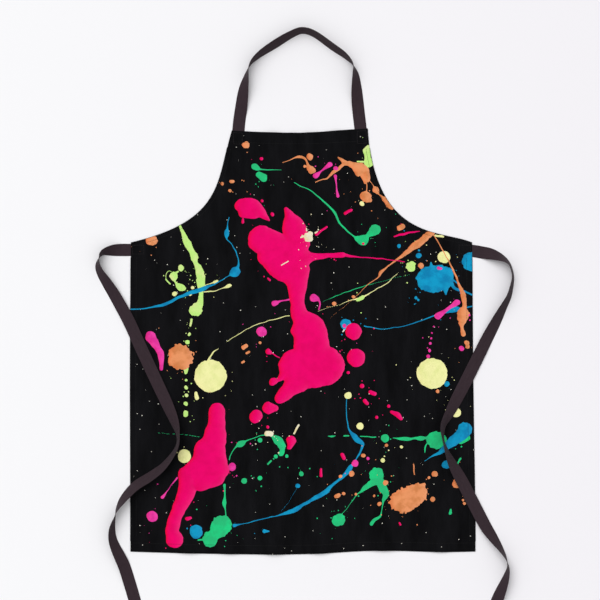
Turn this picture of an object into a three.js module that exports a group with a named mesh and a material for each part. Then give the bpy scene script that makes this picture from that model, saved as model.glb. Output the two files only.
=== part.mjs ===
import * as THREE from 'three';

// Artist smock apron: a bib apron of printed cloth with a twill tape neck strap and two
// twill tape waist ties, lying flat and face up on a level surface.
// Millimetres, +Z up out of the printed front, +Y towards the neck strap.
// Left and right are those of someone looking at the front.

// Driving dimensions
const bodyLength = 860;
const hemWidth = 702;
const waistWidth = 694;
const bibWidth = 277;
const armholeDepth = 228;
const cloth = 0.75;
const topHemDepth = 25;
const bottomHemDepth = 20;
const sideHemDepth = 14;
const bindingWidth = 10;
const tapeWidth = 25;
const tape = 0.75;
const strapSewn = 30;
const tieSewn = 30;
const tieDrop = 14;
const tieEndTurn = 14;
const threadWidth = 0.9;
const threadHeight = 0.3;
const stitchInset = 2.5;
const boxInset = 3;
const seamGap = 0.3;
const clearance = 0.3;
const foldClear = 8;
const jointGap = 0.45;
const curveSteps = 48;
const sectionsPerPoint = 2;

const top = bodyLength / 2;
const bottom = -bodyLength / 2;
const waist = top - armholeDepth;
const tieY = waist - tieDrop;
const panelBase = Math.max(cloth, tape);
const panelTop = panelBase + cloth;
const overPanel = panelTop + threadHeight + clearance;

const halfWidthAt = (y) => {
  const t = Math.min((waist - y) / (waist - bottom), 1);
  return (waistWidth + (hemWidth - waistWidth) * t) / 2;
};

// The armhole runs from the bib's corner to the waist's corner, steep and then nearly level.
const bibCorner = new THREE.Vector2(bibWidth / 2, top);
const waistCorner = new THREE.Vector2(waistWidth / 2, waist);
const armholeSpan = waistCorner.x - bibCorner.x;
const armhole = new THREE.CubicBezierCurve(
  bibCorner,
  new THREE.Vector2(bibCorner.x + armholeSpan * 0.2, top - armholeDepth * 0.68),
  new THREE.Vector2(bibCorner.x + armholeSpan * 0.175, top - armholeDepth * 0.745),
  waistCorner,
);

// Colours and finishes
const printed = new THREE.MeshStandardMaterial({ color: 0x101012, roughness: 0.85, metalness: 0 });
const reverse = new THREE.MeshStandardMaterial({ color: 0xd8d5d0, roughness: 0.9, metalness: 0 });
const twill = new THREE.MeshStandardMaterial({ color: 0x3a2c33, roughness: 0.8, metalness: 0 });
const thread = new THREE.MeshStandardMaterial({ color: 0x18181a, roughness: 0.6, metalness: 0 });

const group = new THREE.Group();

const add = (name, geometry, material) => {
  const mesh = new THREE.Mesh(geometry, material);
  mesh.name = name;
  group.add(mesh);
  return mesh;
};

// A flat piece: an outline given a thickness, from the height base upwards.
const flat = (outline, base, height) => {
  const geometry = new THREE.ExtrudeGeometry(outline, { depth: height, bevelEnabled: false });
  geometry.translate(0, 0, base);
  return geometry;
};

// The band that lies between two distances in from an edge, which is a list of points.
// The cloth is on the right of the edge as it is walked, and side -1 mirrors the band.
const band = (edge, near, far, side = 1) => {
  const normals = edge.map((point, i) => {
    const before = edge[Math.max(i - 1, 0)];
    const after = edge[Math.min(i + 1, edge.length - 1)];
    const along = after.clone().sub(before).normalize();
    return new THREE.Vector2(along.y, -along.x);
  });
  const offset = (distance) => edge.map((point, i) => point.clone().addScaledVector(normals[i], distance));
  const loop = [...offset(near), ...offset(far).reverse()];
  return new THREE.Shape(loop.map((point) => new THREE.Vector2(point.x * side, point.y)));
};

const sides = [['left', -1], ['right', 1]];

// Front panel, cut in one piece
const armholePoints = armhole.getPoints(curveSteps);
const rightEdge = [...armholePoints, new THREE.Vector2(hemWidth / 2, bottom)];
const leftEdge = rightEdge.map((point) => new THREE.Vector2(-point.x, point.y)).reverse();
add('front_panel', flat(new THREE.Shape([...rightEdge, ...leftEdge]), panelBase, cloth), printed);

// Turned edges, in the layer under the panel. Each stops short of the tape ends sewn in beside it.
const topHemHalf = bibWidth / 2 - tapeWidth - seamGap;
const topEdge = [new THREE.Vector2(-topHemHalf, top), new THREE.Vector2(topHemHalf, top)];
add('top_hem', flat(band(topEdge, 0, topHemDepth), 0, cloth), reverse);

const bottomHemTop = bottom + bottomHemDepth;
const bottomHem = new THREE.Shape([
  new THREE.Vector2(-hemWidth / 2, bottom),
  new THREE.Vector2(hemWidth / 2, bottom),
  new THREE.Vector2(halfWidthAt(bottomHemTop), bottomHemTop),
  new THREE.Vector2(-halfWidthAt(bottomHemTop), bottomHemTop),
]);
add('bottom_hem', flat(bottomHem, 0, cloth), reverse);

const sideTop = tieY - tapeWidth / 2 - seamGap;
const sideBottom = bottomHemTop + seamGap;

// The binding fills the armhole from under the strap's end to the inner end of the tie.
const bindingTop = top - Math.max(strapSewn, topHemDepth) - seamGap;
const bindingOut = waistWidth / 2 - tieSewn - stitchInset;
const bindingEdge = armholePoints.filter((point) => point.y < bindingTop && point.x < bindingOut);

for (const [name, side] of sides) {
  const sideHem = new THREE.Shape([
    new THREE.Vector2(side * halfWidthAt(sideTop), sideTop),
    new THREE.Vector2(side * halfWidthAt(sideBottom), sideBottom),
    new THREE.Vector2(side * (halfWidthAt(sideBottom) - sideHemDepth), sideBottom),
    new THREE.Vector2(side * (halfWidthAt(sideTop) - sideHemDepth), sideTop),
  ]);
  add(`${name}_side_hem`, flat(sideHem, 0, cloth), reverse);
  add(`${name}_armhole_binding`, flat(band(bindingEdge, 0, bindingWidth, side), 0, cloth), reverse);
}

// Rows of stitching that hold the turned edges, raised on the printed face
const row = (name, edge, inset, side = 1) => {
  add(name, flat(band(edge, inset, inset + threadWidth, side), panelTop, threadHeight), thread);
};

const rowHalf = bibWidth / 2 - tapeWidth - stitchInset;
const topRow = [new THREE.Vector2(-rowHalf, top), new THREE.Vector2(rowHalf, top)];
row('top_hem_stitching', topRow, topHemDepth - stitchInset);

const bottomRowHalf = hemWidth / 2 - stitchInset;
const bottomRow = [new THREE.Vector2(bottomRowHalf, bottom), new THREE.Vector2(-bottomRowHalf, bottom)];
row('bottom_hem_stitching', bottomRow, bottomHemDepth - stitchInset);

const sideRow = [sideTop - stitchInset, sideBottom + stitchInset]
  .map((y) => new THREE.Vector2(halfWidthAt(y), y));
for (const [name, side] of sides) {
  row(`${name}_side_stitching`, sideRow, sideHemDepth - stitchInset, side);
  row(`${name}_armhole_stitching`, bindingEdge.slice(1, -1), bindingWidth - stitchInset, side);
}

// A box of stitching with a cross in it, where a tape's end is sewn in
const boxStitch = (name, x, y, width, height) => {
  const halfX = width / 2;
  const halfY = height / 2;
  const arm = threadWidth * 0.75;
  const box = new THREE.Shape([
    new THREE.Vector2(x - halfX, y - halfY),
    new THREE.Vector2(x + halfX, y - halfY),
    new THREE.Vector2(x + halfX, y + halfY),
    new THREE.Vector2(x - halfX, y + halfY),
  ]);
  const inX = halfX - threadWidth;
  const inY = halfY - threadWidth;
  const corners = [[1, 1], [-1, 1], [-1, -1], [1, -1]];
  corners.forEach(([ax, ay], i) => {
    const [bx, by] = corners[(i + 1) % corners.length];
    const mx = (ax + bx) / 2;
    const my = (ay + by) / 2;
    const pull = new THREE.Vector2(ax - mx, ay - my).multiplyScalar(2 * arm);
    box.holes.push(new THREE.Path([
      new THREE.Vector2(x + ax * inX - pull.x, y + ay * inY - pull.y),
      new THREE.Vector2(x + bx * inX + pull.x, y + by * inY + pull.y),
      new THREE.Vector2(x + mx * arm * 2, y + my * arm * 2),
    ]));
  });
  add(name, flat(box, panelTop, threadHeight), thread);
};

const strapX = (bibWidth - tapeWidth) / 2;
const tieX = (waistWidth - tieSewn) / 2;
const boxAcross = tapeWidth - 2 * boxInset;
for (const [name, side] of sides) {
  const strapY = top - strapSewn / 2;
  boxStitch(`neck_strap_${name}_box_stitch`, side * strapX, strapY, boxAcross, strapSewn - 2 * boxInset);
  boxStitch(`${name}_tie_box_stitch`, side * tieX, tieY, tieSewn - 2 * boxInset, boxAcross);
}

// Tapes. A route is a list of points [x, y, roll]: the tape's middle, and how far it is rolled about
// its own line in degrees, flat at 0 with its first face up and at -180 with its second face up.
// It turns its corners standing on edge, at a roll near -90.
const fromBib = (points) => points.map(([across, y, roll]) => [across * strapX, top + y, roll]);
const fromSide = (side, points) => points.map(([out, y, roll]) => [
  side * (waistWidth / 2 + out),
  tieY + y,
  roll,
]);

// Across is 1 at the middle of the tape where it is sewn to the bib, and y starts from the bib's top.
const strapRoute = fromBib([
  [-1, -strapSewn, 0],
  [-1, -11, 0],
  [-1, foldClear, 0],
  [-0.985, 27, 0],
  [-0.945, 47, -8],
  [-0.915, 75, -27],
  [-0.89, 96, -48],
  [-0.815, 130, -90],
  [-0.66, 152, -112],
  [-0.39, 175, -125],
  [-0.12, 195, -118],
  [0.05, 202, -114],
  [0.25, 194, -114],
  [0.56, 168, -116],
  [0.75, 151, -109],
  [0.86, 134, -90],
  [0.91, 116, -60],
  [0.925, 94, -38],
  [0.94, 70, -18],
  [0.965, 47, -5],
  [0.99, 27, 0],
  [1, foldClear, 0],
  [1, -11, 0],
  [1, -strapSewn, 0],
]);
const strapFolds = [2, 21];

// Out is the distance beyond the side seam, and y starts from the middle of the tie's sewn end.
const leftTieRoute = fromSide(-1, [
  [-tieSewn, 0, 0],
  [-8, 0, 0],
  [5, 0, 0],
  [17, 0, 0],
  [34, -1, -24],
  [50, -4, -54],
  [58, -8, -74],
  [62, -14, -90],
  [65, -21, -104],
  [66, -33, -122],
  [61, -47, -134],
  [49, -66, -150],
  [30, -97, -168],
  [5, -143, -176],
  [-22, -202, -178],
  [-48, -258, -176],
  [-73, -311, -165],
  [-89, -348, -140],
  [-96, -374, -112],
  [-96, -394, -106],
  [-87, -414, -112],
  [-66, -440, -124],
  [-40, -460, -136],
  [-9, -480, -138],
  [14, -505, -128],
  [27, -526, -106],
  [32, -543, -88],
  [37, -563, -68],
  [37, -583, -56],
  [31, -603, -44],
  [15, -638, -20],
  [3, -676, -6],
  [-8, -714, 0],
  [-16, -744, 0],
  [-22, -772, 0],
  [-27, -802, 0],
]);
const leftTieBend = 7;

const rightTieRoute = fromSide(1, [
  [-tieSewn, 0, 0],
  [-8, 0, 0],
  [5, 0, 0],
  [19, -1, 0],
  [36, -3, -30],
  [54, -8, -56],
  [67, -15, -78],
  [76, -24, -90],
  [82, -38, -84],
  [84, -53, -78],
  [83, -69, -72],
  [76, -93, -64],
  [64, -117, -52],
  [46, -150, -26],
  [25, -191, -8],
  [-8, -258, 0],
  [-30, -300, -10],
  [-48, -334, -36],
  [-58, -352, -54],
  [-61, -368, -66],
  [-59, -388, -78],
  [-52, -410, -66],
  [-42, -432, -44],
  [-23, -466, -14],
  [0, -510, -4],
  [25, -558, -14],
  [42, -584, -38],
  [57, -606, -62],
  [68, -626, -80],
  [72, -643, -92],
  [70, -657, -106],
  [64, -676, -124],
  [55, -700, -146],
  [46, -726, -166],
  [38, -752, -180],
  [32, -778, -180],
  [27, -805, -180],
]);
const rightTieBend = 7;

// How much the tape is lifted to pass over the apron. It stays up while any of its width may be
// over the cloth, and eases down to the floor beyond that.
const liftedTo = tapeWidth / 2 + 1.5;
const easedOver = 20;
const liftAt = (x, y) => {
  const beyond = Math.max(Math.abs(x) - halfWidthAt(y), bottom - y, 0);
  return overPanel * (1 - THREE.MathUtils.smoothstep(beyond, liftedTo, liftedTo + easedOver));
};

const curveOf = (route) => new THREE.CatmullRomCurve3(
  route.map((point) => new THREE.Vector3(...point)),
  false,
  'catmullrom',
);

// Sections of tape at places on a route, counted in its points, each as a frame with a middle, a
// direction across the tape and one through it. The lowest edge of each stands at its support.
const sections = (route, places, lifted, raise = 0) => places.map((place) => {
  const curve = curveOf(route);
  const at = curve.getPoint(place / (route.length - 1));
  const along = curve.getTangent(place / (route.length - 1));
  const left = new THREE.Vector3(-along.y, along.x, 0).normalize();
  const roll = THREE.MathUtils.degToRad(at.z);
  const sine = Math.sin(roll);
  const cosine = Math.cos(roll);
  const rise = (tapeWidth * Math.abs(sine) + tape * Math.abs(cosine)) / 2;
  const support = lifted ? liftAt(at.x, at.y) : 0;
  return {
    middle: new THREE.Vector3(at.x, at.y, support + rise + raise),
    across: left.clone().multiplyScalar(cosine).add(new THREE.Vector3(0, 0, sine)),
    through: left.clone().multiplyScalar(-sine).add(new THREE.Vector3(0, 0, cosine)),
  };
});

// A closed bar through its sections: four corners to each, walls between them and two end caps.
// The walls above and below are split along the same diagonal, so that a twist keeps them apart.
const tapeBar = (frames, width = tapeWidth, thickness = tape) => {
  const corners = [[-1, -1], [1, -1], [1, 1], [-1, 1]];
  const positions = [];
  for (const { middle, across, through } of frames) {
    for (const [a, t] of corners) {
      const corner = middle.clone();
      corner.addScaledVector(across, (a * width) / 2);
      corner.addScaledVector(through, (t * thickness) / 2);
      positions.push(corner.x, corner.y, corner.z);
    }
  }
  const faces = [0, 2, 1, 0, 3, 2];
  for (let i = 0; i < frames.length - 1; i += 1) {
    for (let k = 0; k < 4; k += 1) {
      const next = (k + 1) % 4;
      const [a, b, c, d] = [4 * i + k, 4 * i + next, 4 * i + 4 + next, 4 * i + 4 + k];
      faces.push(...(k === 2 ? [a, b, d, b, c, d] : [a, b, c, a, c, d]));
    }
  }
  const last = 4 * (frames.length - 1);
  faces.push(last, last + 1, last + 2, last, last + 2, last + 3);
  const geometry = new THREE.BufferGeometry();
  geometry.setAttribute('position', new THREE.Float32BufferAttribute(positions, 3));
  geometry.setIndex(faces);
  geometry.computeVertexNormals();
  return geometry;
};

// Places spread evenly along a route from one to another, with so many to each of its points
const spread = (from, to, perPoint) => {
  const steps = Math.max(1, Math.round((to - from) * perPoint));
  return Array.from({ length: steps + 1 }, (unused, i) => from + ((to - from) * i) / steps);
};

// The place that lies a distance before or after one of a route's points
const beside = (route, index, distance) => {
  const flatRoute = route.map(([x, y]) => [x, y, 0]);
  const curve = curveOf(flatRoute);
  const last = route.length - 1;
  const step = 0.01 * Math.sign(distance);
  const chord = curve.getPoint((index + step) / last).distanceTo(curve.getPoint(index / last));
  const speed = chord / Math.abs(step);
  return index + distance / speed;
};

// Neck strap: its two sewn ends reach just past the bib, and the loop between them folds there.
const strapStart = beside(strapRoute, strapFolds[0], jointGap);
const strapEnd = beside(strapRoute, strapFolds[1], -jointGap);
const strapLeftEnd = spread(0, beside(strapRoute, strapFolds[0], -jointGap), 1);
const strapRightEnd = spread(beside(strapRoute, strapFolds[1], jointGap), strapRoute.length - 1, 1);
add('neck_strap_left_end', tapeBar(sections(strapRoute, strapLeftEnd, false)), twill);
add('neck_strap_right_end', tapeBar(sections(strapRoute, strapRightEnd, false)), twill);
const strapLoop = spread(strapStart, strapEnd, sectionsPerPoint + 1);
add('neck_strap', tapeBar(sections(strapRoute, strapLoop, false)), twill);

// Waist ties: a sewn end up to the first corner, the long run after it, and a turned and
// stitched hem at the loose end.
const waistTie = (name, route, bend) => {
  const last = route.length - 1;
  const sewn = spread(0, beside(route, bend, -jointGap), sectionsPerPoint);
  const turnStart = beside(route, last, -tieEndTurn);
  const turn = spread(turnStart, last, sectionsPerPoint);
  const run = [...spread(beside(route, bend, jointGap), turnStart, sectionsPerPoint), ...turn.slice(1)];
  add(`${name}_tie_sewn_end`, tapeBar(sections(route, sewn, false)), twill);
  add(`${name}_waist_tie`, tapeBar(sections(route, run, true)), twill);
  add(`${name}_tie_end_hem`, tapeBar(sections(route, turn, true, tape)), twill);
  const rowEnd = beside(route, last, stitchInset - tieEndTurn);
  const rowStart = beside(route, last, stitchInset - tieEndTurn - threadWidth);
  const stitch = sections(route, [rowStart, rowEnd], true, tape * 1.5 + threadHeight / 2);
  add(`${name}_tie_end_stitch`, tapeBar(stitch, tapeWidth - 2 * stitchInset, threadHeight), thread);
};

waistTie('left', leftTieRoute, leftTieBend);
waistTie('right', rightTieRoute, rightTieBend);

export default group;
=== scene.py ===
# An artist's smock apron laid flat: printed front, turned hems, neck strap and waist ties.
import bpy
import bmesh
import math
import numpy as np
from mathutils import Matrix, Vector
from mathutils.geometry import delaunay_2d_cdt


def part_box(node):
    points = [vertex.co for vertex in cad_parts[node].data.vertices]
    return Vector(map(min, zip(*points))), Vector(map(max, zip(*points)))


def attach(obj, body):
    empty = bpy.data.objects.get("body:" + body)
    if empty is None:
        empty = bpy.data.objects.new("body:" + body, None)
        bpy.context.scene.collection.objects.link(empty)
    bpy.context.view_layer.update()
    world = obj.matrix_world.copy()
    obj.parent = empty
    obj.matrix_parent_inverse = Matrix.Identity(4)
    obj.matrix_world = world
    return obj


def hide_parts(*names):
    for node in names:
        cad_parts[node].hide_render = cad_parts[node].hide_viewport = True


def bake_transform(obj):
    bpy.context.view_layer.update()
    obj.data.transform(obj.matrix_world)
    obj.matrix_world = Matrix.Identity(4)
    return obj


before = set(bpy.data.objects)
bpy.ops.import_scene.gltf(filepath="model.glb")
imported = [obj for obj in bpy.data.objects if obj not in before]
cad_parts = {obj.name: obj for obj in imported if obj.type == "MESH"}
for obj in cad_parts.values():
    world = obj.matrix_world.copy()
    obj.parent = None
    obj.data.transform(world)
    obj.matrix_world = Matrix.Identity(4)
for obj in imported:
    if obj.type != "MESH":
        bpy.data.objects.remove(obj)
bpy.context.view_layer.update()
print("stage: the frame is loaded")

studioCamera = {"lens": 100.0, "sensor": 36.0, "viewWidth": 1.221, "centre": (-0.003, 0.0855), "farClip": 50}


def addCamera(settings):
    # straight above the cloth, at a height of the wanted width times the lens over the sensor
    data = bpy.data.cameras.new("studio_camera")
    data.lens = settings["lens"]
    data.sensor_width = settings["sensor"]
    data.clip_end = settings["farClip"]
    camera = bpy.data.objects.new("studio_camera", data)
    height = settings["viewWidth"] * settings["lens"] / settings["sensor"]
    camera.location = (*settings["centre"], height)
    bpy.context.collection.objects.link(camera)
    bpy.context.scene.camera = camera


addCamera(studioCamera)

# where the frame has the cloth and the tapes' sewn ends
panelLow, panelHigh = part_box("front_panel")
bibTop, bodyBottom = panelHigh[1], panelLow[1]
panelUnder, panelTop = panelLow[2], panelHigh[2]
tapeEnds = {name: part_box(name) for name in (
    "neck_strap_left_end", "neck_strap_right_end", "left_tie_sewn_end", "right_tie_sewn_end")}
strapX = (tapeEnds["neck_strap_right_end"][0][0] + tapeEnds["neck_strap_right_end"][1][0]) / 2
tieLow, tieHigh = tapeEnds["left_tie_sewn_end"]
tieY = (tieLow[1] + tieHigh[1]) / 2
sides = {"left": -1, "right": 1}

# the cut: half widths, the pulls of each armhole's curve, the lean and bow of the laid cloth, hem depths
bodyCut = {
    "bibHalf": 0.1385, "waistHalf": 0.347, "hemHalf": 0.351, "waistY": 0.202, "edgeStep": 0.003,
    "pulls": {-1: ((0.169, 0.323), (0.161, 0.246)), 1: ((0.153, 0.203), (0.282, 0.229))},
    "bibLean": -0.0035, "hemLean": 0.003, "topSag": 0.005, "sagFrom": 0.30,
    "cornerLift": 0.004, "liftAcross": (-0.01, 0.11), "liftFrom": 0.385,
    "bottomBow": 0.006, "bottomRaise": 0.0042, "bowFrom": 0.20,
    "bottomDip": 0.0068, "dipAt": 0.150, "dipHalf": 0.105,
    "topHem": 0.025, "bottomHem": 0.020, "sideHem": 0.014, "binding": 0.010,
}
drape = {
    "sink": 0.00055, "sinkReach": 0.005, "roll": 0.0012, "rollCell": 0.13, "rollSeed": 5,
    "foldFades": (0.2, 1), "pucker": 0.00022, "puckerLength": 0.012, "puckerReach": 0.008, "puckerCell": 0.03,
    "puckerSeed": 6, "puckerWander": 3, "tapeHold": (0.002, 0.045), "edgeHold": 0.35, "edgeReach": 0.05,
}
# soft folds: from, to, half width, height
folds = [
    ((-0.055, 0.430), (-0.040, 0.230), 0.016, 0.0034), ((0.020, 0.430), (0.012, 0.260), 0.014, 0.0028),
    ((0.075, 0.430), (0.062, 0.250), 0.013, 0.0026), ((-0.012, 0.430), (-0.022, 0.310), 0.010, 0.0018),
    ((-0.335, 0.150), (-0.110, 0.050), 0.022, 0.0030), ((0.335, 0.150), (0.100, 0.040), 0.022, 0.0032),
    ((-0.060, -0.440), (-0.010, -0.150), 0.020, 0.0046), ((0.035, -0.440), (0.055, -0.220), 0.018, 0.0036),
    ((-0.235, -0.440), (-0.195, -0.260), 0.020, 0.0034), ((0.165, -0.440), (0.115, -0.120), 0.022, 0.0042),
    ((0.280, -0.440), (0.245, -0.280), 0.018, 0.0030), ((-0.150, -0.440), (-0.138, -0.310), 0.015, 0.0024),
    ((-0.120, 0.180), (0.020, -0.020), 0.026, 0.0026), ((0.160, 0.140), (0.230, -0.060), 0.028, 0.0024),
    ((-0.260, -0.020), (-0.200, -0.160), 0.026, 0.0022),
]


def smooth(value, start, end):
    # 0 before start, 1 after end, 3t^2 - 2t^3 between
    t = np.clip((value - start) / (end - start), 0, 1)
    return t * t * (3 - 2 * t)


def armholeCurve(pulls, count=200):
    # a cubic curve from the bib's corner to the waist corner, drawn towards two pulls on its way
    t = np.linspace(0, 1, count)[:, None]
    a = np.array([bodyCut["bibHalf"], bibTop])
    d = np.array([bodyCut["waistHalf"], bodyCut["waistY"]])
    b, c = np.array(pulls)
    return (1 - t) ** 3 * a + 3 * (1 - t) ** 2 * t * b + 3 * (1 - t) * t * t * c + t**3 * d


def lengthAlong(points):
    # metres along a line of points, from 0 at its first: the running sum of the gaps
    return np.concatenate([[0], np.cumsum(np.linalg.norm(np.diff(points, axis=0), axis=1))])


def evenly(points, step):
    # the same line with its points an even step apart
    along = lengthAlong(points)
    places = np.linspace(0, along[-1], max(2, round(along[-1] / step) + 1))
    return np.stack([np.interp(places, along, points[:, k]) for k in range(points.shape[1])], axis=1)


def straight(*ends):
    # a straight line of the cut, its points edgeStep apart
    return evenly(np.array(ends), bodyCut["edgeStep"])


def inwardFrom(edge):
    # unit vectors square to an edge that runs down the right of the cloth, pointing into the cloth
    along = np.gradient(edge, axis=0)
    along /= np.linalg.norm(along, axis=1)[:, None]
    return np.stack([along[:, 1], -along[:, 0]], axis=1)


# each side's own edge, written as if on the right: its armhole, then down to the hem
armholeEdges = {sign: evenly(armholeCurve(pulls), bodyCut["edgeStep"])
                for sign, pulls in bodyCut["pulls"].items()}
sideEdge = straight([bodyCut["waistHalf"], bodyCut["waistY"]], [bodyCut["hemHalf"], bodyBottom])
bodyEdges = {sign: np.vstack([armhole, sideEdge[1:]]) for sign, armhole in armholeEdges.items()}


def halfWidthAt(x, y):
    # the cloth's half width at a height, on the side that x is on, and level below the hem
    left, right = (np.interp(-y, -bodyEdges[sign][:, 1], bodyEdges[sign][:, 0]) for sign in (-1, 1))
    return np.where(np.asarray(x) < 0, left, right)


def edgeHeightAt(x):
    # the height of the armhole's edge above a place, on the side that x is on; it climbs away over the bib
    left, right = (np.interp(np.abs(x), np.append(0, armholeEdges[sign][:, 0]),
                             np.append(bibTop + 0.5, armholeEdges[sign][:, 1])) for sign in (-1, 1))
    return np.where(np.asarray(x) < 0, left, right)


def edgeGap(x, y):
    # how far a place is inside the side and armhole edges: the height of the right-angled triangle
    # whose short sides are its level and its upright distance to that edge
    across, upright = halfWidthAt(x, y) - np.abs(x), edgeHeightAt(x) - y
    gap = np.abs(across * upright) / (np.hypot(across, upright) + 1e-9)
    return np.where((across > 0) & (upright > 0), gap, -gap)


def rowGaps(gap, y):
    # how far a place is inside the side or armhole row of stitches, the top row and the bottom row
    depth = np.where(y > bodyCut["waistY"], bodyCut["binding"], bodyCut["sideHem"])
    return np.stack([gap - depth, bibTop - y - bodyCut["topHem"], y - bodyBottom - bodyCut["bottomHem"]])


def alongLine(x, y, start, end):
    # the distance to a straight line piece, and the share of the way along it
    dx, dy = end[0] - start[0], end[1] - start[1]
    t = np.clip(((x - start[0]) * dx + (y - start[1]) * dy) / max(dx * dx + dy * dy, 1e-12), 0, 1)
    return np.hypot(x - start[0] - t * dx, y - start[1] - t * dy), t


def latticeNoise(x, y, cell, seed):
    # random heights on a square lattice, each square blended by 3f^2 - 2f^3 both ways: -1 to 1
    rng = np.random.default_rng(seed)
    table = rng.uniform(-1, 1, (256, 256))
    u, v = x / cell, y / cell
    i, j = np.floor(u).astype(int), np.floor(v).astype(int)
    fu, fv = smooth(u - i, 0, 1), smooth(v - j, 0, 1)
    a, b = table[j % 256, i % 256], table[j % 256, (i + 1) % 256]
    c, d = table[(j + 1) % 256, i % 256], table[(j + 1) % 256, (i + 1) % 256]
    return (a * (1 - fu) + b * fu) * (1 - fv) + (c * (1 - fu) + d * fu) * fv


def clothRise(x, y):
    # the cloth sinks between its hems, stands in soft folds, each a bell across that fades along its line,
    # and puckers in a sine wave along its rows of stitches; the tapes' sewn ends hold it flat
    gap = edgeGap(x, y)
    rows = rowGaps(gap, y)
    inside = rows.min(axis=0)
    nearTape = np.ones(x.shape)
    for low, high in tapeEnds.values():
        away = np.stack([np.maximum(low[0] - x, x - high[0]), np.maximum(low[1] - y, y - high[1])])
        inside = np.minimum(inside, away.max(axis=0))
        nearTape = nearTape * smooth(np.hypot(*np.maximum(away, 0)), *drape["tapeHold"])
    lift = drape["roll"] * (1 + latticeNoise(x, y, drape["rollCell"], drape["rollSeed"])) / 2
    for start, end, half, height in folds:
        distance, share = alongLine(x, y, start, end)
        lift = lift + height * np.exp(-((distance / half) ** 2)) * (1 - smooth(share, *drape["foldFades"]))
    wander = drape["puckerWander"] * latticeNoise(x, y, drape["puckerCell"], drape["puckerSeed"])
    wave = np.sin(2 * math.pi * (x + y) / drape["puckerLength"] + wander)
    seam = np.abs(rows).min(axis=0)
    pucker = drape["pucker"] * (1 + wave) * np.exp(-((seam / drape["puckerReach"]) ** 2)) / 2
    hold = drape["edgeHold"] + (1 - drape["edgeHold"]) * smooth(np.abs(gap), 0, drape["edgeReach"])
    return nearTape * (lift * hold + pucker) - drape["sink"] * smooth(inside, 0, drape["sinkReach"])


def layCloth(flat):
    # moves points of the flat cut to where the laid cloth has them: the bib and the hem lean, the top edge
    # sags in a parabola, the bottom bows in another less a bell, and every place rises by clothRise
    x, y, z = np.moveaxis(flat, -1, 0)
    cut = bodyCut
    lean = cut["bibLean"] * smooth(y, cut["waistY"], bibTop) + cut["hemLean"] * smooth(-y, 0, -bodyBottom)
    sag = cut["topSag"] * (1 - (x / cut["bibHalf"]) ** 2) * smooth(y, cut["sagFrom"], bibTop)
    sag = sag - cut["cornerLift"] * smooth(x, *cut["liftAcross"]) * smooth(y, cut["liftFrom"], bibTop)
    bow = cut["bottomBow"] * (1 - (x / cut["hemHalf"]) ** 2) - cut["bottomRaise"]
    bow = bow - cut["bottomDip"] * np.exp(-(((x - cut["dipAt"]) / cut["dipHalf"]) ** 2))
    bow = bow * smooth(-y, cut["bowFrom"], -bodyBottom)
    return np.stack([x + lean, y - sag - bow, z + clothRise(x, y)], axis=-1)


def addMesh(name, points, faces, material):
    # a new piece from whole arrays of points and a list of faces, its place kept in its mesh
    mesh = bpy.data.meshes.new(name)
    mesh.from_pydata(points.reshape(-1, 3), [], faces)
    mesh.shade_smooth()
    mesh.materials.append(material)
    obj = bpy.data.objects.new(name, mesh)
    bpy.context.collection.objects.link(obj)
    return obj


def tubeFaces(rings, places, count=1):
    # quads join each ring of places to the next, and a cap closes each end; count tubes follow one another
    index = np.arange(rings * places).reshape(rings, places)
    beside = np.roll(index, -1, axis=1)
    quads = np.stack([index[:-1], beside[:-1], beside[1:], index[1:]], axis=-1).reshape(-1, 4)
    caps = np.stack([index[0, ::-1], index[-1]])
    first = np.arange(count)[:, None, None] * rings * places
    return (quads + first).reshape(-1, 4).tolist() + (caps + first).reshape(-1, places).tolist()


def faceOutwards(obj):
    # turns the faces of a closed piece so that they all point out
    work = bmesh.new()
    work.from_mesh(obj.data)
    bmesh.ops.recalc_face_normals(work, faces=work.faces)
    work.to_mesh(obj.data)
    work.free()


def sewOn(obj, node, body):
    # a closed piece takes its node's place and moves with a body
    faceOutwards(obj)
    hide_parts(node)
    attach(obj, body)
    return obj


def addLayMap(obj, lengthways, places):
    # the piece's own map: metres along its rings and metres round its section
    u = np.repeat(lengthways, len(places))
    v = np.tile(places, len(lengthways))
    layer = obj.data.uv_layers.new(name="lay")
    corners = np.empty(len(obj.data.loops), dtype=np.int32)
    obj.data.loops.foreach_get("vertex_index", corners)
    layer.data.foreach_set("uv", np.stack([u[corners], v[corners]], axis=1).astype(np.float32).ravel())


def linear(code):
    # a written colour as the shader's light values: each part p over 12.92 when dark, else
    # (p + 0.055) / 1.055 to the power 2.4
    parts = [int(code[k:k + 2], 16) / 255 for k in (1, 3, 5)]
    return tuple(p / 12.92 if p <= 0.04045 else ((p + 0.055) / 1.055) ** 2.4 for p in parts) + (1.0,)


def newGroup(name, inputs, outputs):
    # a node group with named sockets: title, kind and value for each input, title and kind for each output
    group = bpy.data.node_groups.new(name, "ShaderNodeTree")
    for title, kind, value in inputs:
        socket = group.interface.new_socket(name=title, in_out="INPUT", socket_type=kind)
        if value is not None:
            socket.default_value = value
    for title, kind in outputs:
        group.interface.new_socket(name=title, in_out="OUTPUT", socket_type=kind)
    return group, group.nodes.new("NodeGroupInput").outputs, group.nodes.new("NodeGroupOutput").inputs


def feed(tree, socket, item):
    # another node's output is linked to the socket, and a number or a colour is set on it
    if isinstance(item, bpy.types.NodeSocket):
        tree.links.new(item, socket)
    elif item is not None:
        socket.default_value = item


def addNode(tree, kind, feeds=None, **settings):
    # settings are the node's own properties, feeds what its sockets take
    node = tree.nodes.new(kind)
    for key, value in settings.items():
        setattr(node, key, value)
    for key, item in (feeds or {}).items():
        feed(tree, node.inputs[key], item)
    return node


def mathNode(tree, operation, first, second=None, clamp=False):
    # one step of arithmetic between two numbers or outputs
    node = addNode(tree, "ShaderNodeMath", {0: first, 1: second}, operation=operation, use_clamp=clamp)
    return node.outputs[0]


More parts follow.
